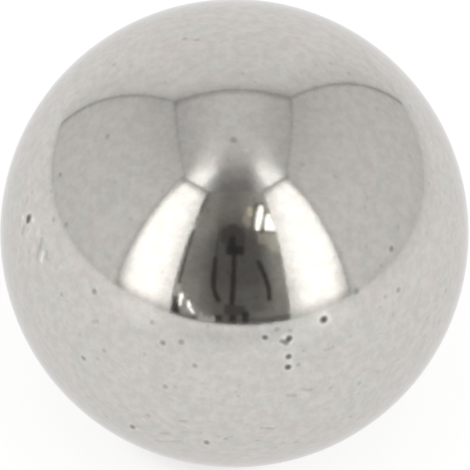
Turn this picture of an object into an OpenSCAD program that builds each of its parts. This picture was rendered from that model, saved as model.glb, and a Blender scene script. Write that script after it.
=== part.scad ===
// Loose steel ball, in millimetres.
// One solid: a slug of steel is pressed round, hardened, ground and lapped to a true sphere.
// The origin is the ball's centre, and +Z is up.

/* [Ball] */
// Diameter of the finished ball
ball_d = 20; // [10:0.5:30]

/* [Hidden] */
// Sides of the drawn mesh round the widest circle, while the solid itself is a true sphere
mesh_sides = 144;

// The ball has no flat, edge or hole: all of its skin lies half of ball_d from the centre.
module steel_ball() {
    color("silver")
        sphere(d = ball_d, $fn = mesh_sides);
}

steel_ball();
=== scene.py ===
import math
import random

import bmesh
import bpy
from mathutils import Matrix, Vector
from mathutils.kdtree import KDTree


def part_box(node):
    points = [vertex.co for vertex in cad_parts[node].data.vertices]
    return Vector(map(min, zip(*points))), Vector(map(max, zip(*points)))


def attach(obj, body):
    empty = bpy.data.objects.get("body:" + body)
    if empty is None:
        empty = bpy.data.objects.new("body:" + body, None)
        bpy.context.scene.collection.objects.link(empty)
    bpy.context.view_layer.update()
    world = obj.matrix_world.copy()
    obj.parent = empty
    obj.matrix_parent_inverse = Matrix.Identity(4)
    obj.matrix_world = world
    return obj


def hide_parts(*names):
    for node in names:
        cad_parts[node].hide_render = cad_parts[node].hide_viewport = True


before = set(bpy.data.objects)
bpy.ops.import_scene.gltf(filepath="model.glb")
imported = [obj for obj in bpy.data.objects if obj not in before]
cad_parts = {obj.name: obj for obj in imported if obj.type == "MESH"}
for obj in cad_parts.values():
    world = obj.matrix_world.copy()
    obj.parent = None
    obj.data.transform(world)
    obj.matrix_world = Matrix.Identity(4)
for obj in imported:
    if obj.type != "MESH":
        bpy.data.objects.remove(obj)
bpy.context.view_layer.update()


# The camera.
# It stands on a tripod 0.8 m in front of the ball and looks down on it through a long lens. It is
# rolled a little off level, and its aim is a hair off the ball's centre.
mm = 0.001
ball_low, ball_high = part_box("steel_ball")
ball_radius = ball_high.z
# The view's width and height in pixels, then the radius of the ball's outline in it, and how far
# across and down the outline's middle lies.
view_side = 470
disc_radius = 234.3
disc_across = 234.4
disc_down = 233.2

camera_distance = 0.8
camera_pitch = math.radians(42.0)
camera_swing = math.radians(-3.3)
camera_roll = math.radians(2.9)
camera_turn = (
    Matrix.Rotation(camera_swing, 3, "Z")
    @ Matrix.Rotation(math.pi / 2 - camera_pitch, 3, "X")
    @ Matrix.Rotation(camera_roll, 3, "Z")
)
camera_right, camera_up, camera_back = camera_turn.transposed()

pixel = ball_radius / disc_radius
outline_slope = math.tan(math.asin(ball_radius / camera_distance))
aim_off = (
    camera_right * (view_side / 2 - disc_across) * pixel
    - camera_up * (view_side / 2 - disc_down) * pixel
)

bpy.ops.object.select_all(action="DESELECT")
bpy.ops.object.camera_add(
    location=camera_back * camera_distance + aim_off,
    rotation=camera_turn.to_euler(),
)
camera = bpy.context.object
camera.name = "camera"
camera.data.lens = camera.data.sensor_width * disc_radius / view_side / outline_slope
bpy.context.scene.camera = camera


# The steel ball.
# One solid of hardened steel, pressed from a slug, then ground and lapped until it is a round
# mirror. Years of handling have left small rust pits and short scuffs in its skin.
deepest_pit = 0.006 * mm


def seen_at(across, down):
    """The point of the ball's skin that the camera sees at a place in its view, in pixels."""
    eye = camera_back * camera_distance
    aside = camera_right * (across - disc_across) + camera_up * (disc_down - down)
    sight = aside * (outline_slope / disc_radius) - camera_back
    sight.normalize()
    along = eye.dot(sight)
    half_chord = math.sqrt(along * along - eye.length_squared + ball_radius * ball_radius)
    return eye - sight * (along + half_chord)


# Each pit: its place across and down in the camera's view, its reach from its middle in pixels,
# and its share of the full depth.
pits = [
    (324, 319.5, 6.4, 1.0), (289.3, 338.6, 5.6, 0.9), (286, 342.4, 5.6, 0.62), (282, 341.2, 4.8, 0.42),
    (288.8, 356.5, 5.2, 0.76), (287.8, 367.3, 5.4, 0.92), (264.2, 337, 4.7, 0.36), (266, 337.5, 4.7, 0.36),
    (391.5, 249, 5.4, 0.34), (356.3, 291, 5.2, 0.24), (398.3, 290.3, 4.8, 0.26), (94.3, 291.6, 4.8, 0.28),
    (83.2, 358, 5.0, 0.32), (163, 343, 5.2, 0.38), (233.8, 140, 5.6, 0.22), (181.3, 341.7, 4.8, 0.28),
    (194.8, 365.6, 4.5, 0.22), (107.7, 136.3, 4.6, 0.16), (60.2, 175, 4.6, 0.2), (66.2, 224.5, 4.4, 0.13),
    (152.2, 322.6, 4.6, 0.18), (114.5, 64.3, 4.4, 0.14), (184.8, 38.8, 4.8, 0.15), (197, 39.8, 4.8, 0.13),
    (53.6, 219.5, 4.4, 0.12), (61.5, 294.7, 4.4, 0.14), (94, 321.5, 4.2, 0.11), (97, 321.5, 4.2, 0.1),
    (104.5, 351, 4.4, 0.12), (165, 386.8, 4.8, 0.24), (148.2, 415.5, 4.6, 0.14), (106.6, 416.7, 4.4, 0.1),
    (225.7, 438.6, 4.4, 0.12), (277, 329.6, 4.6, 0.16), (290, 331, 4.6, 0.12), (298.6, 365, 4.4, 0.12),
    (385, 297, 4.4, 0.1), (445.8, 290.6, 4.6, 0.14), (350.5, 416.9, 4.4, 0.1), (359.2, 383.5, 4.6, 0.12),
    (257.9, 440.6, 4.4, 0.1), (348.7, 73.3, 4.2, 0.09), (330.6, 63.5, 4.2, 0.08), (410.6, 106.6, 4.4, 0.12),
]
# Small burrs that stand up a little and are painted bright, as glints, given in the same way.
burr_glints = [
    (324, 312.8, 6.0, 0.15), (284, 335.6, 5.4, 0.14), (290, 361.6, 5.0, 0.10), (22.8, 217.6, 5.2, 0.26),
    (33.4, 219.8, 6.0, 0.32), (143.5, 419.6, 5.0, 0.1), (344.4, 75, 4.4, 0.1), (431.3, 143.1, 4.4, 0.1),
    (422.4, 147.6, 4.4, 0.1), (307, 395, 5.0, 0.06), (357.5, 379.5, 5.0, 0.11), (38, 232.5, 5.5, 0.07),
    (61, 267, 5.0, 0.06),
]
# Each scuff: where it starts and ends, its reach to each side, and its share of the full depth.
# One that stands up as a ridge has a share below nought. A ridge is painted brighter, as a
# highlight, and a groove darker.
scuffs = [
    (29.7, 217.0, 29.1, 219.6, 5.6, 0.62), (27.7, 217.6, 27.3, 220.8, 5.4, 0.62),
    (132.9, 426.3, 132.3, 427.7, 5.0, 0.46), (206.8, 441.8, 206.5, 443.2, 5.0, 0.42),
    (24.4, 226.5, 22.4, 233, 5.2, 0.09), (31.2, 226, 27.2, 236, 4.2, -0.10),
    (42, 240, 40, 248, 5.2, 0.13), (34.6, 244, 33, 252, 4.2, -0.10),
    (38.4, 251.5, 37, 257, 4.6, 0.09), (43, 254, 41.5, 260, 5.0, -0.26),
    (47.2, 252, 45.8, 257, 4.4, 0.10), (39.5, 226, 37.5, 235, 4.6, -0.06),
    (27.6, 198, 26.6, 203, 4.4, 0.08), (161, 433.3, 169, 433.4, 5.2, 0.07),
    (156, 441.2, 180, 441.2, 5.2, 0.06), (181, 421.2, 186.5, 421.4, 4.6, 0.09),
    (182.5, 432, 188.5, 432.2, 4.8, 0.05), (164, 437.4, 174, 437.2, 4.0, -0.06),
    (181, 425, 187, 426, 4.2, -0.07), (288, 395, 295, 395.6, 4.6, 0.09),
    (303, 389.4, 311, 390, 4.6, 0.08), (261, 428, 273, 428.6, 4.2, 0.10),
    (325, 350, 333, 347.4, 4.2, 0.08), (312, 356.5, 327, 358, 4.6, 0.04),
]
scuff_step = 1.5 * pixel

marks = [([seen_at(x, y)], reach * pixel, share) for x, y, reach, share in pits]
marks += [([seen_at(x, y)], reach * pixel, -share) for x, y, reach, share in burr_glints]
for x0, y0, x1, y1, reach, share in scuffs:
    start = seen_at(x0, y0)
    end = seen_at(x1, y1)
    steps = max(1, round((end - start).length / scuff_step))
    path = [start.lerp(end, step / steps) for step in range(steps + 1)]
    marks.append((path, reach * pixel, share))

# The side that the camera doesn't see is pitted in the same way.
unseen_pits = 46
unseen_below = 0.05
random.seed(20)
while unseen_pits > 0:
    way = Vector((random.gauss(0, 1), random.gauss(0, 1), random.gauss(0, 1))).normalized()
    across, down, reach, share = random.choice(pits)
    if way.dot(camera_back) < unseen_below:
        marks.append(([way * ball_radius], reach * pixel, share))
        unseen_pits -= 1

# A deep pit also has a low lip thrown up round it, painted bright as a highlight. The lip
# spreads over the pit as well, so the pit goes that much deeper.
lip_from = 0.3
lip_reach = 1.67
lip_share = 0.28
lips = []
for number, (path, reach, share) in enumerate(marks):
    if share > lip_from:
        marks[number] = (path, reach, share * (1 + lip_share))
        lips.append((path, reach * lip_reach, -share * lip_share))
marks += lips

ball_fineness = 6
bpy.ops.object.select_all(action="DESELECT")
bpy.ops.mesh.primitive_ico_sphere_add(subdivisions=ball_fineness, radius=ball_radius)
ball = bpy.context.object
ball.name = "polished_ball"

# The mesh is cut finer in four rounds, each one closer round the marks.
finer_within = (0.24 * mm, 0.12 * mm, 0.05 * mm, 0.01 * mm)
bpy.ops.object.mode_set(mode="EDIT")
bpy.ops.mesh.select_mode(type="FACE")
for margin in finer_within:
    bpy.ops.mesh.select_all(action="DESELECT")
    skin = bmesh.from_edit_mesh(ball.data)
    skin.faces.ensure_lookup_table()
    face_places = KDTree(len(skin.faces))
    for face in skin.faces:
        face_places.insert(face.calc_center_median(), face.index)
    face_places.balance()
    for path, reach, share in marks:
        for point in path:
            for place, index, gap in face_places.find_range(point, reach + margin):
                skin.faces[index].select_set(True)
    bmesh.update_edit_mesh(ball.data)
    bpy.ops.mesh.subdivide(number_cuts=1, smoothness=0)
bpy.ops.mesh.select_all(action="SELECT")
bpy.ops.mesh.quads_convert_to_tris()
bpy.ops.object.mode_set(mode="OBJECT")

bpy.ops.object.modifier_add(type="CAST")
lapping = ball.modifiers["Cast"]
lapping.cast_type = "SPHERE"
lapping.factor = 1
lapping.radius = 0
lapping.use_radius_as_size = False
lapping.size = ball_radius
bpy.ops.object.modifier_apply(modifier="Cast")

# Each mark is pushed into the skin, or pulled out of it, from the points along its path.
vertex_places = KDTree(len(ball.data.vertices))
for vertex in ball.data.vertices:
    vertex_places.insert(vertex.co, vertex.index)
vertex_places.balance()
bpy.ops.object.mode_set(mode="EDIT")
bpy.ops.mesh.select_mode(type="VERT")
for path, reach, share in marks:
    bpy.ops.mesh.select_all(action="DESELECT")
    skin = bmesh.from_edit_mesh(ball.data)
    skin.verts.ensure_lookup_table()
    for point in path:
        nearest, index, gap = vertex_places.find(point)
        skin.verts[index].select_set(True)
    bmesh.update_edit_mesh(ball.data)
    inwards = -path[len(path) // 2].normalized()
    bpy.ops.transform.translate(
        value=inwards * deepest_pit * share,
        use_proportional_edit=True,
        proportional_edit_falloff="SMOOTH",
        proportional_size=reach,
    )
bpy.ops.object.mode_set(mode="OBJECT")
bpy.ops.object.shade_smooth()

# Where no mark has moved the skin, it shades as a true sphere.
moved_from = 0.00001 * mm
depths = [ball_radius - vertex.co.length for vertex in ball.data.vertices]
untouched = ball.vertex_groups.new(name="untouched")
still = [index for index, depth in enumerate(depths) if abs(depth) < moved_from]
untouched.add(still, 1, "REPLACE")
bpy.ops.object.modifier_add(type="NORMAL_EDIT")
true_round = ball.modifiers["NormalEdit"]
true_round.mode = "RADIAL"
true_round.vertex_group = "untouched"
bpy.ops.object.modifier_apply(modifier="NormalEdit")
# Each point keeps its share of the full depth, which paints a highlight on lips, burrs and ridges, and
# shade together with rust in pits.
rust_and_painted_light = ball.data.attributes.new("rust_and_painted_light", "FLOAT", "POINT")
rust_and_painted_light.data.foreach_set("value", [depth / deepest_pit for depth in depths])


def add_node(tree, kind, **inputs):
    """A new shader node, with its sockets set to values or linked to other sockets."""
    node = tree.nodes.new(kind)
    for name, value in inputs.items():
        socket = node.inputs[name.replace("_", " ")]
        if isinstance(value, bpy.types.NodeSocket):
            tree.links.new(value, socket)
        else:
            socket.default_value = value
    return node


def add_sum(tree, operation, first, second=0.0):
    """One step of arithmetic on sockets or numbers."""
    node = tree.nodes.new("ShaderNodeMath")
    node.operation = operation
    for socket, value in zip(node.inputs, (first, second)):
        if isinstance(value, bpy.types.NodeSocket):
            tree.links.new(value, socket)
        else:
            socket.default_value = value
    return node.outputs["Value"]


def times(tree, first, second):
    return add_sum(tree, "MULTIPLY", first, second)


def less(tree, first, second):
    return add_sum(tree, "SUBTRACT", first, second)


def fade(tree, value, steps):
    """A smooth change along a value. Its steps are where it starts, where it ends, and what it is
    worth before the start and after the end."""
    node = add_node(tree, "ShaderNodeMapRange", Value=value)
    node.interpolation_type = "SMOOTHSTEP"
    for name, number in zip(("From Min", "From Max", "To Min", "To Max"), steps):
        node.inputs[name].default_value = number
    return node.outputs["Result"]


steel_colour = (0.60, 0.58, 0.55)
warm_shift = (0.008, -0.003, -0.002)
warm_fade = (0.35, 0.65, -1.0, 1.0)
edge_tint = (0.90, 0.90, 0.90, 1)
# How bright the steel is at each share of the full depth: lips, burrs and ridges are painted
# bright as highlights, and a pit is painted darker down to its bottom, as shade together with
# rust. The colour ramp holds half of each, because it can't go past 1, and the mottle is worth
# about two.
rust_and_painted_light_steps = [
    (-0.3, 1.34), (-0.16, 1.15), (-0.07, 1.07), (0, 1.0), (0.1, 0.83), (0.22, 0.69), (0.39, 0.51),
    (0.68, 0.34), (1, 0.2),
]
brightest_lip = rust_and_painted_light_steps[0][0]
mottle_fade = (0.3, 0.7, 1.89, 2.115)
mottle_scale = 2400
mottle_detail = 3.0
mottle_roughness = 0.6
tint_scale = 700
tint_detail = 1.0
# Fine specks, some darker and some lighter, each fading out from its own middle.
speck_scale = 1500
speck_fade = (0.1, 0.9, -0.05, 0.12)
speck_round = (0.06, 0.24, 1.0, 0.0)
grain_scale = 5200
grain_detail = 1.0
grain_height = 0.0006 * mm
# A polished skin, and rough rust in the pits.
roughness_fade = (0.2, 1.0, 0.085, 0.5)


def on_ramp(depth):
    """Where a share of the full depth lies on the colour ramp, from the highest lip down."""
    return (depth - brightest_lip) / (1 - brightest_lip)


steel = bpy.data.materials.new("polished_steel")
steel.use_nodes = True
tree = steel.node_tree
place = tree.nodes.new("ShaderNodeTexCoord").outputs["Object"]
mottle = add_node(tree, "ShaderNodeTexNoise", Vector=place, Scale=mottle_scale, Detail=mottle_detail)
mottle.inputs["Roughness"].default_value = mottle_roughness
cast = add_node(tree, "ShaderNodeTexNoise", Vector=place, Scale=tint_scale, Detail=tint_detail)
specks = add_node(tree, "ShaderNodeTexVoronoi", Vector=place, Scale=speck_scale)
grain = add_node(tree, "ShaderNodeTexNoise", Vector=place, Scale=grain_scale, Detail=grain_detail)
rust_and_light_depth = tree.nodes.new("ShaderNodeAttribute")
rust_and_light_depth.attribute_name = "rust_and_painted_light"
rust_and_light_depth = rust_and_light_depth.outputs["Fac"]

# Painted highlights on lips and painted shade with rust in pits, by depth.
rust_and_light_on_ramp = add_sum(tree, "DIVIDE", less(tree, rust_and_light_depth, brightest_lip), 1 - brightest_lip)
shade = add_node(tree, "ShaderNodeValToRGB", Fac=rust_and_light_on_ramp)
ramp = shade.color_ramp
ramp.interpolation = "EASE"
for depth, grey in rust_and_painted_light_steps[1:-1]:
    ramp.elements.new(on_ramp(depth))
for step, (depth, grey) in zip(ramp.elements, rust_and_painted_light_steps):
    step.color = (grey / 2, grey / 2, grey / 2, 1)
light = times(tree, fade(tree, mottle.outputs["Fac"], mottle_fade), shade.outputs["Color"])
speck = add_node(tree, "ShaderNodeSeparateColor", Color=specks.outputs["Color"]).outputs["Red"]
speck = fade(tree, speck, speck_fade)
speck = times(tree, speck, fade(tree, specks.outputs["Distance"], speck_round))
light = times(tree, light, less(tree, 1.0, speck))
tint = tree.nodes.new("ShaderNodeVectorMath")
tint.operation = "MULTIPLY_ADD"
tint.inputs[0].default_value = warm_shift
tree.links.new(fade(tree, cast.outputs["Fac"], warm_fade), tint.inputs[1])
tint.inputs[2].default_value = steel_colour
shaded = tree.nodes.new("ShaderNodeVectorMath")
shaded.operation = "SCALE"
tree.links.new(tint.outputs["Vector"], shaded.inputs[0])
tree.links.new(light, shaded.inputs["Scale"])
ripple = add_node(tree, "ShaderNodeBump", Height=grain.outputs["Fac"], Distance=grain_height)

shader = tree.nodes["Principled BSDF"]
shader.inputs["Metallic"].default_value = 1.0
shader.inputs["Specular Tint"].default_value = edge_tint
tree.links.new(shaded.outputs["Vector"], shader.inputs["Base Color"])
tree.links.new(fade(tree, rust_and_light_depth, roughness_fade), shader.inputs["Roughness"])
tree.links.new(ripple.outputs["Normal"], shader.inputs["Normal"])
ball.data.materials.append(steel)
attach(ball, "root")
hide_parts("steel_ball")


# The floor.
# A pale sheet on a light table. It glows from below, so the ball's shadow on it is soft and faint.
floor_side = 8.0
floor_level = ball_low.z
bpy.ops.object.select_all(action="DESELECT")
bpy.ops.mesh.primitive_plane_add(size=floor_side, location=(0, 0, floor_level))
floor = bpy.context.object
floor.name = "floor"
bpy.ops.object.transform_apply(location=True, rotation=True, scale=True)


def plus(tree, first, second):
    return add_sum(tree, "ADD", first, second)


def off_middle(tree, across, middle):
    """How far a place lies to either side of a middle line."""
    return add_sum(tree, "ABSOLUTE", less(tree, across, middle))


def patch(tree, *fades):
    """A patch of light or shade: fades along one or more values, multiplied together."""
    glow = 1.0
    for value, steps in fades:
        glow = times(tree, glow, fade(tree, value, steps))
    return glow


# The sheet is brightest in the middle, with a narrower bright band down its centre.
sheet_middle = -0.03
sheet_across = (0.07, 0.30, 0.67, 0.555)
band_across = (0.0, 0.09, 0.06, 0.0)
# The curtains throw two bright streaks on it, from the ball out to the tent's front corners.
streak_middle = -0.01
streak_slope = -0.9
streak_start = -0.005
streak_width = (0.0, 0.045, 0.15, 0.0)
streak_length = (-0.06, -0.03, 1.0, 0.0)
# Between the streaks it is in shade, and so are its front edge and its far right.
between_middle = -0.08
between_across = (0.015, 0.07, 0.18, 0.0)
between_along = (0.015, 0.055, 1.0, 0.3)
edge_middle = -0.01
edge_across = (0.06, 0.12, 0.20, 0.0)
edge_along = (-0.206, -0.15, 1.0, 0.0)
far_right_across = (0.02, 0.12, 0.0, 0.035)
far_right_along = (-0.02, 0.08, 0.0, 1.0)
# The camera itself sees it evenly white, but for the shade close round the ball's foot.
sheet_white = 0.735
contact_middle = Vector((-0.7 * mm, -0.9 * mm, floor_level))
contact_round = (0.6 * mm, 4.4 * mm, 0.38, 0.0)
sheet_colour = (0.35, 0.35, 0.35, 1)
glow_colour = (1.0, 1.0, 1.0, 1)

pale_sheet = bpy.data.materials.new("pale_sheet")
pale_sheet.use_nodes = True
tree = pale_sheet.node_tree
place = tree.nodes.new("ShaderNodeTexCoord").outputs["Object"]
x, y, z = add_node(tree, "ShaderNodeSeparateXYZ", Vector=place).outputs
off_centre = off_middle(tree, x, 0)
off_streak = less(tree, off_middle(tree, x, streak_middle), times(tree, y, streak_slope))
off_streak = off_middle(tree, off_streak, streak_start)
sheet = fade(tree, off_middle(tree, x, sheet_middle), sheet_across)
sheet = plus(tree, sheet, fade(tree, off_centre, band_across))
sheet = plus(tree, sheet, patch(tree, (off_streak, streak_width), (y, streak_length)))
for shaded_part in (
    patch(tree, (off_centre, between_across), (off_middle(tree, y, between_middle), between_along)),
    patch(tree, (off_middle(tree, x, edge_middle), edge_across), (y, edge_along)),
    patch(tree, (x, far_right_across), (y, far_right_along)),
):
    sheet = less(tree, sheet, shaded_part)

off_contact = tree.nodes.new("ShaderNodeVectorMath")
off_contact.operation = "DISTANCE"
tree.links.new(place, off_contact.inputs[0])
off_contact.inputs[1].default_value = contact_middle
contact = fade(tree, off_contact.outputs["Value"], contact_round)
straight = tree.nodes.new("ShaderNodeLightPath").outputs["Is Camera Ray"]
glow = tree.nodes.new("ShaderNodeMix")
tree.links.new(straight, glow.inputs["Factor"])
tree.links.new(sheet, glow.inputs["A"])
tree.links.new(less(tree, sheet_white, contact), glow.inputs["B"])

shader = tree.nodes["Principled BSDF"]
shader.inputs["Base Color"].default_value = sheet_colour
shader.inputs["Roughness"].default_value = 1.0
shader.inputs["Specular IOR Level"].default_value = 0.0
shader.inputs["Emission Color"].default_value = glow_colour
tree.links.new(glow.outputs["Result"], shader.inputs["Emission Strength"])
floor.data.materials.append(pale_sheet)


# The light tent.
# A box of white cloth, 600 mm wide, set over the ball and open at the front. Lamps outside it
# light the cloth, most of all low down at the back.
tent_left = -0.328
tent_right = 0.272
tent_front = -0.206
tent_back = 0.321
tent_top = 0.638


def glowing(name, tint):
    """A cloth that glows. Its strength is still to be linked; its place on the stage is given."""
    cloth = bpy.data.materials.new(name)
    cloth.use_nodes = True
    tree = cloth.node_tree
    tree.nodes.clear()
    glow = add_node(tree, "ShaderNodeEmission", Color=tint)
    add_node(tree, "ShaderNodeOutputMaterial", Surface=glow.outputs["Emission"])
    place = tree.nodes.new("ShaderNodeTexCoord").outputs["Object"]
    axes = add_node(tree, "ShaderNodeSeparateXYZ", Vector=place)
    return cloth, tree, glow.inputs["Strength"], axes.outputs


def set_stage(piece, *cloths):
    """The camera never sees the tent itself, only its reflection in the ball."""
    for cloth in cloths:
        piece.data.materials.append(cloth)
    piece.visible_camera = False


def near_seam(tree, glow, gap, least, reach):
    """The cloth is doubled along a seam and lets less light through there."""
    return times(tree, glow, fade(tree, gap, (0.0, reach, least, 1.0)))


def off_edge(tree, across, low, high):
    """How far a place lies inside the nearer of two edges."""
    return less(tree, (high - low) / 2, off_middle(tree, across, (low + high) / 2))


warm_white = (1.0, 0.993, 0.985, 1)
seam_reach = 0.024
wide_seam_reach = 0.06

# The side walls fade upwards and towards the back.
sides_up = (0.10, 0.65, 0.80, 0.655)
sides_loss_back = 0.17
sides_seam = 0.76
sides_foot_seam = 0.92
sides_top_seam = 0.84
side_cloth, tree, strength, (x, y, z) = glowing("side_cloth", warm_white)
sides = less(tree, fade(tree, z, sides_up), times(tree, y, sides_loss_back))
for gap, least in (
    (off_edge(tree, y, tent_front, tent_back), sides_seam),
    (less(tree, z, floor_level), sides_foot_seam),
    (less(tree, tent_top, z), sides_top_seam),
):
    sides = near_seam(tree, sides, gap, least, seam_reach)
tree.links.new(sides, strength)

# The back wall is brightest at its foot.
back_foot = 0.975
back_loss_up = 0.30
back_top_shade = (0.45, 0.64, 0.0, 0.13)
back_middle = -0.03
back_across = (0.14, 0.30, 1.0, 0.87)
back_seam = 0.78
back_top_seam = 0.55
back_cloth, tree, strength, (x, y, z) = glowing("back_cloth", warm_white)
back = less(tree, back_foot, times(tree, z, back_loss_up))
back = less(tree, back, fade(tree, z, back_top_shade))
back = times(tree, back, fade(tree, off_middle(tree, x, back_middle), back_across))
for gap, least in (
    (off_edge(tree, x, tent_left, tent_right), back_seam),
    (less(tree, tent_top, z), back_top_seam),
):
    back = near_seam(tree, back, gap, least, seam_reach)
tree.links.new(back, strength)

# Two lamps stand close to the roof at the front, and between them the roof is in shade. Both the
# lamps' light and the shade run down over the front and die away towards the back.
roof_middle = -0.03
roof_across = (0.03, 0.28, 0.77, 0.61)
roof_seam = 0.80
roof_back_seam = 0.62
lamps_middle = -0.021
lamps_apart = 0.186
lamps_lean_down = 0.08
lamps_lean_back = 0.55
lamps_fade = (0.012, 0.125, 0.87, 0.0)
between_lamps_middle = -0.02
between_lamps_lean = 0.15
between_lamps_across = (0.085, 0.13, 1.0, 0.0)
between_lamps_down = (0.0, 0.26, 0.38, 0.55)
# What is left of each of the two, a tenth of a metre back.
lamps_share_back = 0.26
between_lamps_share_back = 0.40
tenths_per_metre = 10.0
roof_cloth, tree, strength, (x, y, z) = glowing("roof_cloth", warm_white)
back_from_front = less(tree, y, tent_front)
down_from_top = less(tree, tent_top, z)
tenths_back = times(tree, back_from_front, tenths_per_metre)
inwards = plus(
    tree, times(tree, down_from_top, lamps_lean_down), times(tree, back_from_front, lamps_lean_back)
)
outwards = plus(tree, off_middle(tree, x, lamps_middle), inwards)
lamps = fade(tree, off_middle(tree, outwards, lamps_apart), lamps_fade)
lamps = times(tree, lamps, add_sum(tree, "POWER", lamps_share_back, tenths_back))
beside = off_middle(tree, x, between_lamps_middle)
beside = less(tree, beside, times(tree, down_from_top, between_lamps_lean))
between = patch(tree, (beside, between_lamps_across), (down_from_top, between_lamps_down))
between = times(tree, between, add_sum(tree, "POWER", between_lamps_share_back, tenths_back))
roof = fade(tree, off_middle(tree, x, roof_middle), roof_across)
roof = near_seam(tree, roof, off_edge(tree, x, tent_left, tent_right), roof_seam, seam_reach)
roof = near_seam(tree, roof, less(tree, tent_back, y), roof_back_seam, wide_seam_reach)
tree.links.new(plus(tree, roof, less(tree, lamps, between)), strength)

bpy.ops.object.select_all(action="DESELECT")
bpy.ops.mesh.primitive_cube_add(
    size=1,
    location=(
        (tent_left + tent_right) / 2, (tent_front + tent_back) / 2, (floor_level + tent_top) / 2
    ),
    scale=(tent_right - tent_left, tent_back - tent_front, tent_top - floor_level),
)
tent = bpy.context.object
tent.name = "light_tent"
bpy.ops.object.transform_apply(location=True, rotation=True, scale=True)
# A panel faces the way along which its normal is longer than this.
facing = 0.5
bpy.ops.object.mode_set(mode="EDIT")
bpy.ops.mesh.select_mode(type="FACE")
bpy.ops.mesh.select_all(action="DESELECT")
cloth_box = bmesh.from_edit_mesh(tent.data)
for panel in cloth_box.faces:
    panel.select_set(panel.normal.y < -facing or panel.normal.z < -facing)
bmesh.update_edit_mesh(tent.data)
bpy.ops.mesh.delete(type="FACE")
bpy.ops.object.mode_set(mode="OBJECT")
set_stage(tent, side_cloth, back_cloth, roof_cloth)
for panel in tent.data.polygons:
    if panel.normal.y > facing:
        panel.material_index = tent.data.materials.find("back_cloth")
    elif panel.normal.z > facing:
        panel.material_index = tent.data.materials.find("roof_cloth")


# The front of the tent.
# Two bright curtains with slanting tops hang at either side of the gap that the camera looks
# through, and the roof cloth comes down between them.
gap_left = -0.123
gap_right = 0.087
gap_right_foot = 0.0905
gap_top = 0.394
left_shoulder = 0.612
right_shoulder = 0.622

# The curtains' light. It falls away towards each of their edges: how far in that starts, and what
# share of it the edge still has.
curtain_full = 1.85
slant_reach = 0.068
slant_share = 0.44
foot_reach = 0.035
foot_share = 0.5
side_reach = 0.045
side_share = 0.46
gap_reach = 0.06
gap_share = 0.74
curtain_up = (0.15, 0.50, 1.0, 0.90)
# How steeply the top edge slants, on the left and on the right.
slant_steepness = (-0.01, 0.01, 1.06, 1.24)
# The outer edges, and how far in they come towards the top.
side_edge_left = -0.325
side_edge_right = 0.278
side_edge_in = (0.35, 0.60, 0.0, 0.035)
# Soft shade low in the outer corners, and in a fold low down at the right of the gap.
corner_from_edge = (0.0, 0.03, 0.0, 0.24)
corner_to_middle = (0.035, 0.08, 1.0, 0.0)
corner_up = (0.04, 0.13, 1.0, 0.0)
fold_height = 0.038
fold_up = (0.008, 0.046, 0.22, 0.0)
fold_middle = 0.094
fold_across = (0.006, 0.026, 1.0, 0.0)

curtain, tree, strength, (x, y, z) = glowing("curtain", tint=(1.0, 0.996, 0.98, 1))
off_gap = off_middle(tree, x, (gap_left + gap_right) / 2)
past_gap = less(tree, off_gap, (gap_right - gap_left) / 2)
slant = plus(tree, times(tree, past_gap, fade(tree, x, slant_steepness)), gap_top)
from_edge = off_edge(tree, x, side_edge_left, side_edge_right)
from_edge = less(tree, from_edge, fade(tree, z, side_edge_in))
curtain_light = curtain_full
for gap, reach, least in (
    (less(tree, slant, z), slant_reach, slant_share),
    (less(tree, z, floor_level), foot_reach, foot_share),
    (from_edge, side_reach, side_share),
    (past_gap, gap_reach, gap_share),
):
    curtain_light = near_seam(tree, curtain_light, gap, least, reach)
curtain_light = times(tree, curtain_light, fade(tree, z, curtain_up))
corner_shade = patch(tree, (from_edge, corner_from_edge), (from_edge, corner_to_middle), (z, corner_up))
off_fold = off_middle(tree, z, fold_height)
fold_shade = patch(tree, (off_fold, fold_up), (off_middle(tree, x, fold_middle), fold_across))
for shaded_part in (corner_shade, fold_shade):
    curtain_light = times(tree, curtain_light, less(tree, 1.0, shaded_part))
tree.links.new(curtain_light, strength)

bpy.ops.object.select_all(action="DESELECT")
bpy.ops.mesh.primitive_grid_add(x_subdivisions=3, y_subdivisions=2, size=1)
front = bpy.context.object
front.name = "tent_front"
columns = (tent_left, gap_left, gap_right, tent_right)
foot_row = (floor_level, floor_level, floor_level, floor_level)
shoulder_row = (left_shoulder, gap_top, gap_top, right_shoulder)
top_row = (tent_top, tent_top, tent_top, tent_top)
for row, heights in enumerate((foot_row, shoulder_row, top_row)):
    for column, height in enumerate(heights):
        front.data.vertices[row * len(columns) + column].co = (columns[column], tent_front, height)
front.data.vertices[columns.index(gap_right)].co.x = gap_right_foot
bpy.ops.object.mode_set(mode="EDIT")
bpy.ops.mesh.select_mode(type="FACE")
bpy.ops.mesh.select_all(action="DESELECT")
panels = bmesh.from_edit_mesh(front.data)
for panel in panels.faces:
    middle = panel.calc_center_median()
    panel.select_set(gap_left < middle.x < gap_right and middle.z < gap_top)
bmesh.update_edit_mesh(front.data)
bpy.ops.mesh.delete(type="FACE")
bpy.ops.object.mode_set(mode="OBJECT")
set_stage(front, curtain, roof_cloth)
for panel in front.data.polygons:
    if panel.center.z > gap_top:
        panel.material_index = front.data.materials.find("roof_cloth")


# The tent's wires.
# Sprung wire sewn into dark tape runs along the tent's edges and shows as thin lines. A dark hem
# runs along the slanting top of each curtain.
wire_width = 0.008
hem_width = 0.013
rod_sides = 12
tape_tint = (1.0, 0.99, 0.98, 1)
tape_along = (-0.20, 0.25, 0.52, 0.34)


def plain_glow(name, tint, glow):
    """A surface that glows evenly."""
    cloth, tree, strength, axes = glowing(name, tint)
    strength.default_value = glow
    return cloth


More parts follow.
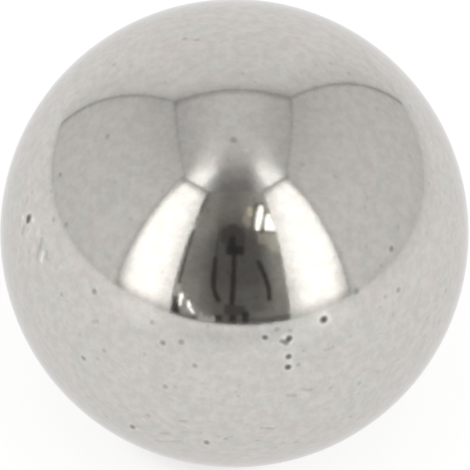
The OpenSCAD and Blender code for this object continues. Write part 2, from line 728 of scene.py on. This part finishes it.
def add_rod(name, start, end, width, cloth):
    """A straight round rod from one place to another."""
    start = Vector(start)
    end = Vector(end)
    bpy.ops.object.select_all(action="DESELECT")
    bpy.ops.mesh.primitive_cylinder_add(
        vertices=rod_sides,
        radius=width / 2,
        depth=(end - start).length,
        location=(start + end) / 2,
        rotation=(end - start).to_track_quat("Z", "Y").to_euler(),
    )
    rod = bpy.context.object
    rod.name = name
    bpy.ops.object.transform_apply(location=True, rotation=True, scale=True)
    set_stage(rod, cloth)
    return rod


tape, tree, strength, (x, y, z) = glowing("tape", tape_tint)
tree.links.new(fade(tree, y, tape_along), strength)
dark_hem = plain_glow("dark_hem", tape_tint, glow=0.38)
wires = [
    ((tent_left, tent_front, floor_level), (tent_left, tent_front, tent_top), wire_width, tape),
    ((tent_right, tent_front, floor_level), (tent_right, tent_front, tent_top), wire_width, tape),
    ((tent_left, tent_back, floor_level), (tent_left, tent_back, tent_top), wire_width, tape),
    ((tent_right, tent_back, floor_level), (tent_right, tent_back, tent_top), wire_width, tape),
    ((tent_left, tent_back, tent_top), (tent_right, tent_back, tent_top), wire_width, tape),
    ((tent_left, tent_front, tent_top), (tent_left, tent_back, tent_top), wire_width, tape),
    ((tent_right, tent_front, tent_top), (tent_right, tent_back, tent_top), wire_width, tape),
    ((tent_left, tent_front, left_shoulder), (gap_left, tent_front, gap_top), hem_width, dark_hem),
    ((tent_right, tent_front, right_shoulder), (gap_right, tent_front, gap_top), hem_width, dark_hem),
]
for number, (start, end, width, cloth) in enumerate(wires):
    add_rod(f"tent_wire_{number}", start, end, width, cloth)


# The dark room.
# A painted room with a dark floor, outside the gap. It is unlit apart from a pair of windows in
# its back wall, and two low lamps just outside the tent, at the gap's left foot.
room_back = -1.648
room_off = -0.15
room_width = 2.6
room_height = 3.5
room_floor_lift = 0.5 * mm


def hide_from_floor(piece):
    """The dark room doesn't shade the floor."""
    piece.visible_diffuse = False
    piece.visible_shadow = False


# The wall is even and dull. Light is added high up, most of all on the right, and at both sides,
# where it is weaker at the top and at the foot.
wall_plain = 0.125
wall_high = (1.3, 2.4, 0.0, 1.0)
wall_high_across = (-0.1, 0.5, 0.12, 0.25)
wall_middle = -0.02
wall_sides = (0.28, 0.66, 0.0, 0.22)
wall_sides_up = (1.3, 2.4, 1.0, 0.3)
wall_sides_foot = (0.05, 0.50, 0.78, 1.0)
# A shaded patch at the left, and light along the foot at the left, the right and in the middle.
dim_across_middle = -0.63
dim_across = (0.02, 0.31, 0.085, 0.0)
dim_up_middle = 0.92
dim_up = (0.15, 0.70, 1.0, 0.0)
left_foot_up = (0.0, 0.20, 0.12, 0.0)
left_foot_across = (-0.60, -0.20, 1.0, 0.0)
right_foot_up = (0.05, 0.13, 0.06, 0.0)
right_foot_from = (0.10, 0.22, 0.0, 1.0)
right_foot_to = (0.40, 0.56, 1.0, 0.0)
middle_foot_up = (0.36, 0.56, 0.035, 0.0)
middle_foot_across = (0.36, 0.52, 1.0, 0.0)
# The room's floor glows with painted light, brighter towards the left.
room_floor_across = (-0.25, -0.08, 0.35, 0.13)

room_wall, tree, strength, (x, y, z) = glowing("room_wall", tint=(1.0, 0.97, 0.92, 1))
off_wall_middle = off_middle(tree, x, wall_middle)
off_dim_across = off_middle(tree, x, dim_across_middle)
off_dim_up = off_middle(tree, z, dim_up_middle)
wall = wall_plain
for lit_part in (
    patch(tree, (z, wall_high), (x, wall_high_across)),
    patch(tree, (off_wall_middle, wall_sides), (z, wall_sides_up), (z, wall_sides_foot)),
    patch(tree, (z, left_foot_up), (x, left_foot_across)),
    patch(tree, (z, right_foot_up), (x, right_foot_from), (x, right_foot_to)),
    patch(tree, (z, middle_foot_up), (off_middle(tree, x, 0), middle_foot_across)),
):
    wall = plus(tree, wall, lit_part)
wall = less(tree, wall, patch(tree, (off_dim_across, dim_across), (off_dim_up, dim_up)))
tree.links.new(wall, strength)
room_floor, tree, strength, (x, y, z) = glowing("room_floor", tint=(1.0, 0.97, 0.94, 1))
tree.links.new(fade(tree, x, room_floor_across), strength)

bpy.ops.object.select_all(action="DESELECT")
bpy.ops.mesh.primitive_cube_add(
    size=1,
    location=(room_off, (room_back + tent_front) / 2, room_height / 2),
    scale=(room_width, tent_front - room_back, room_height - 2 * floor_level),
)
room = bpy.context.object
room.name = "dark_room"
bpy.ops.object.transform_apply(location=True, rotation=True, scale=True)
for vertex in room.data.vertices:
    if vertex.co.z < room_height / 2:
        vertex.co.z = floor_level + room_floor_lift
bpy.ops.object.mode_set(mode="EDIT")
bpy.ops.mesh.select_mode(type="FACE")
bpy.ops.mesh.select_all(action="DESELECT")
walls = bmesh.from_edit_mesh(room.data)
for panel in walls.faces:
    panel.select_set(panel.normal.y > facing)
bmesh.update_edit_mesh(room.data)
bpy.ops.mesh.delete(type="FACE")
bpy.ops.object.mode_set(mode="OBJECT")
set_stage(room, room_wall, room_floor)
hide_from_floor(room)
for panel in room.data.polygons:
    if panel.normal.z < -facing:
        panel.material_index = room.data.materials.find("room_floor")


def add_card(name, depth, cloth, corners):
    """A flat upright card. Its corners are given in millimetres as they show on the tent's front."""
    bpy.ops.object.select_all(action="DESELECT")
    bpy.ops.mesh.primitive_circle_add(vertices=len(corners), fill_type="NGON")
    card = bpy.context.object
    card.name = name
    far = depth / tent_front
    for vertex, (across, height) in zip(card.data.vertices, corners):
        vertex.co = (across * mm * far, depth, height * mm * far)
    set_stage(card, cloth)
    hide_from_floor(card)


window_light = plain_glow("window_light", tint=(1.0, 1.0, 0.95, 1), glow=2.4)
window_frame = plain_glow("window_frame", tint=(1.0, 0.93, 0.72, 1), glow=0.10)
lit_wall = plain_glow("lit_wall", tint=(1.0, 0.91, 0.68, 1), glow=0.76)
pale_edge = plain_glow("pale_edge", tint=(1.0, 0.98, 0.97, 1), glow=0.52)
fold_light = plain_glow("fold_light", tint=(0.97, 0.98, 1.0, 1), glow=0.85)
low_light = plain_glow("low_light", tint=(1.0, 1.0, 0.99, 1), glow=2.75)
dark_gap = plain_glow("dark_gap", tint=(1.0, 0.95, 0.85, 1), glow=0.005)
lit_wall_low_across = (0.40, 0.60, 0.38, 0.54)
lit_wall_low, tree, strength, (x, y, z) = glowing("lit_wall_low", tint=(1.0, 0.95, 0.82, 1))
tree.links.new(fade(tree, x, lit_wall_low_across), strength)

# A thin dark strip of painted shade, in two lengths, stands just inside the left curtain's edge.
gap_shade_across = gap_left + 0.010
gap_shade_width = 0.005
gap_shade_lengths = ((0.055, 0.195), (0.262, gap_top))
for low, high in gap_shade_lengths:
    start = (gap_shade_across, tent_front, low)
    end = (gap_shade_across, tent_front, high)
    hide_from_floor(add_rod("gap_shade_strip", start, end, gap_shade_width, dark_gap))

# The lit wall and the pair of windows hang a little way in front of the room's back wall, in
# this order from the wall.
lit_edge_depth = room_back + 0.015
lit_wall_depth = room_back + 0.02
surround_depth = room_back + 0.03
window_depth = room_back + 0.05
# The low lamps and what is round them stand close outside the tent.
low_dark_depth = -0.31
low_corner_depth = -0.305
low_light_depth = -0.3
low_bright_patch_depth = -0.21
curtain_edge_depth = tent_front - 0.5 * mm
cards = [
    ("lit_sill", lit_wall_depth, lit_wall_low, [
        (42, 156), (62, 154), (68, 132), (86, 132), (90, 186), (42, 186),
    ]),
    ("lit_wall", lit_wall_depth, lit_wall, [
        (22, 249), (33, 249), (37, 262), (38.5, 290), (26, 292), (22, 268),
    ]),
    ("lit_wall_edge", lit_edge_depth, lit_wall_low, [
        (17, 205), (29, 207), (30, 250), (31, 302), (24, 302), (16, 262), (12, 250), (6, 232), (9, 220),
    ]),
    ("window_surround", surround_depth, window_frame, [
        (31, 188), (92, 188), (92, 268), (77, 272), (76, 322), (54, 320), (45, 304), (39.5, 280),
        (37, 250), (32, 215),
    ]),
    ("window_left", window_depth, window_light, [
        (39, 195), (49.5, 196), (55, 217), (63, 242), (67.5, 268), (73, 292), (68.5, 303), (62.5, 303),
        (55, 285), (48, 258), (42, 226),
    ]),
    ("window_right", window_depth, window_light, [
        (62.5, 196), (91, 196), (87.5, 240), (87, 262), (82, 261), (77, 257), (70, 242), (65, 218),
    ]),
    ("low_dark", low_dark_depth, dark_gap, [
        (-122, -12), (-99, -12), (-104, 9), (-108, 27), (-122, 26),
    ]),
    ("curtain_corner", low_corner_depth, pale_edge, [
        (-119, 30), (-107, 36), (-108, 54), (-119, 54),
    ]),
    ("low_light_left", low_light_depth, low_light, [
        (-108, 34), (-106, 24), (-104.4, 10.5), (-102.5, 8.7), (-100.8, 11), (-101.2, 23), (-98.6, 29),
        (-99, 34.5), (-104, 35.5),
    ]),
    ("low_light_right", low_light_depth, low_light, [
        (-89.5, 22.5), (-88.3, 17.5), (-85, 10), (-79.5, 4), (-74, 0.3), (-73, 1.8), (-76.6, 6.3),
        (-81.1, 12), (-82.5, 18.5), (-85, 23), (-87.8, 24.8),
    ]),
    ("curtain_foot", curtain_edge_depth, fold_light, [
        (-124, -9.5), (-120.4, -9.5), (-120.4, 10), (-121.2, 24), (-122.5, 36), (-124, 36),
    ]),
    # A pale patch of painted light, low in the gap.
    ("low_bright_patch", low_bright_patch_depth, pale_edge, [
        (-68, -8), (-37, -8), (-37, 2), (-43, 3), (-47, -3), (-51, 2), (-56, -2), (-59, 9), (-63, 8),
        (-63, -1),
    ]),
    ("curtain_fold", curtain_edge_depth, fold_light, [
        (-124, 192), (-115, 196), (-111, 203), (-117, 212), (-119, 240), (-119.5, 258), (-124, 266),
    ]),
]
for name, depth, cloth, corners in cards:
    add_card(name, depth, cloth, corners)


# The camera on its tripod.
# The ball mirrors what stands in front of it: a camera with a dark body, on a head and three
# black legs of tube, with its strap hanging at the left, and three small feet close to the tent.
camera_black = plain_glow("camera_black", tint=(1.0, 0.96, 0.92, 1), glow=0.08)
black = plain_glow("black_metal", tint=(1.0, 0.95, 0.9, 1), glow=0.035)
# Each block: its middle and its size.
blocks = [
    ("camera_body", (-0.043, -0.63, 0.543), (0.160, 0.06, 0.11), camera_black),
    ("camera_hump", (-0.050, -0.63, 0.610), (0.07, 0.06, 0.04), camera_black),
    ("tripod_head", (-0.024, -0.60, 0.401), (0.104, 0.05, 0.036), black),
    ("tripod_neck", (-0.045, -0.61, 0.470), (0.040, 0.04, 0.070), black),
    ("tripod_base", (-0.014, -0.60, 0.043), (0.100, 0.05, 0.052), camera_black),
    ("tripod_foot_left", (-0.035, -0.24, -0.001), (0.012, 0.01, 0.016), black),
    ("tripod_foot_middle", (-0.009, -0.24, 0.000), (0.013, 0.01, 0.018), black),
    ("tripod_foot_right", (0.0145, -0.24, 0.003), (0.0115, 0.01, 0.024), black),
]
for name, middle, size, cloth in blocks:
    bpy.ops.object.select_all(action="DESELECT")
    bpy.ops.mesh.primitive_cube_add(size=1, location=middle, scale=size)
    block = bpy.context.object
    block.name = name
    bpy.ops.object.transform_apply(location=True, rotation=True, scale=True)
    set_stage(block, cloth)
    hide_from_floor(block)

# Each leg: its joints across and up in millimetres, from the top down.
legs = [
    [(-137, 342), (-134, 232), (-124, 146), (-93, 82)],
    [(-28, 400), (-28, 60)],
    [(108, 325), (140, 233), (155, 160), (157, 88)],
]
leg_depth = -0.593
leg_width = 0.026
for number, leg in enumerate(legs):
    for joint, (top, foot) in enumerate(zip(leg, leg[1:])):
        upper = (top[0] * mm, leg_depth, top[1] * mm)
        lower = (foot[0] * mm, leg_depth, foot[1] * mm)
        hide_from_floor(add_rod(f"tripod_leg_{number}_{joint}", upper, lower, leg_width, black))
strap_top = (-0.140, -0.60, 0.57)
strap_foot = (-0.137, -0.60, 0.34)
strap_width = 0.012
hide_from_floor(add_rod("camera_strap", strap_top, strap_foot, strap_width, camera_black))


# The world.
# Plain white all round, so the floor's far edge melts into it.
world = bpy.data.worlds.new("white_room")
world.use_nodes = True
world.node_tree.nodes["Background"].inputs["Color"].default_value = (1, 1, 1, 1)
world.node_tree.nodes["Background"].inputs["Strength"].default_value = 1.0
bpy.context.scene.world = world
bpy.context.scene.view_settings.view_transform = "Standard"
